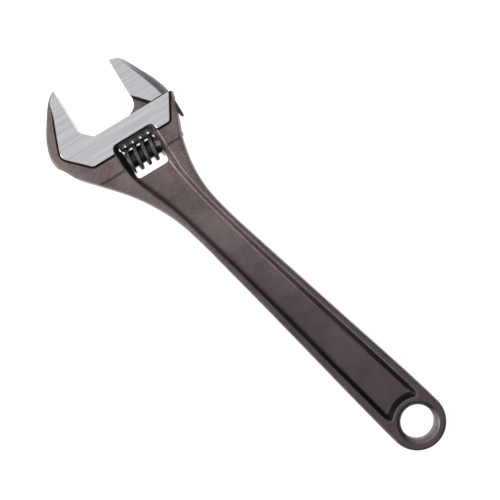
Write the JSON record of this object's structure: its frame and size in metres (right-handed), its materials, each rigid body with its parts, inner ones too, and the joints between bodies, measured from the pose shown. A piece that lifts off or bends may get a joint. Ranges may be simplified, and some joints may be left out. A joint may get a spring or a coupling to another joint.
{
  "type": "adjustable wrench",
  "caption": "Adjustable wrench, shown fully open: forged handle and fixed jaw, sliding jaw on a toothed rail, moved by a knurled worm.",
  "frame": {"origin": "bottom centre of the bounding box, the wrench lying flat on one side and fully open", "axes": "+Y along the handle towards the head, +X towards the movable jaw's side, +Z out of the upper face"},
  "size_m": [0.0678, 0.2582, 0.015],
  "materials": {
    "body": "dark brown-grey phosphated forging with ground steel head faces",
    "movable_jaw": "ground faces, dark phosphated back, neck and rail",
    "worm": "black oxide, knurled thread crests",
    "worm_pin": "turned",
    "worm_spring": "drawn wire"
  },
  "bodies": {
    "frame": {"body": "body", "worm_pin": "worm_pin", "worm_spring": "worm_spring"},
    "jaw": {"movable_jaw": "movable_jaw"},
    "screw": {"worm": "worm"}
  },
  "joints": [
    {"name": "jaw_slide", "type": "slide", "parent": "frame", "child": "jaw", "axis": [0.9659, -0.2588, 0], "range_m": [-0.0309, 0]},
    {"name": "worm_spin", "type": "hinge", "parent": "frame", "child": "screw", "pos_m": [0.00151, 0.07615, 0.0075], "axis": [0.9659, -0.2588, 0], "range_deg": [-2535, 5]}
  ],
  "couplings": [
    {"joint": "worm_spin", "follows": "jaw_slide", "rad_per_m": 1428}
  ]
}
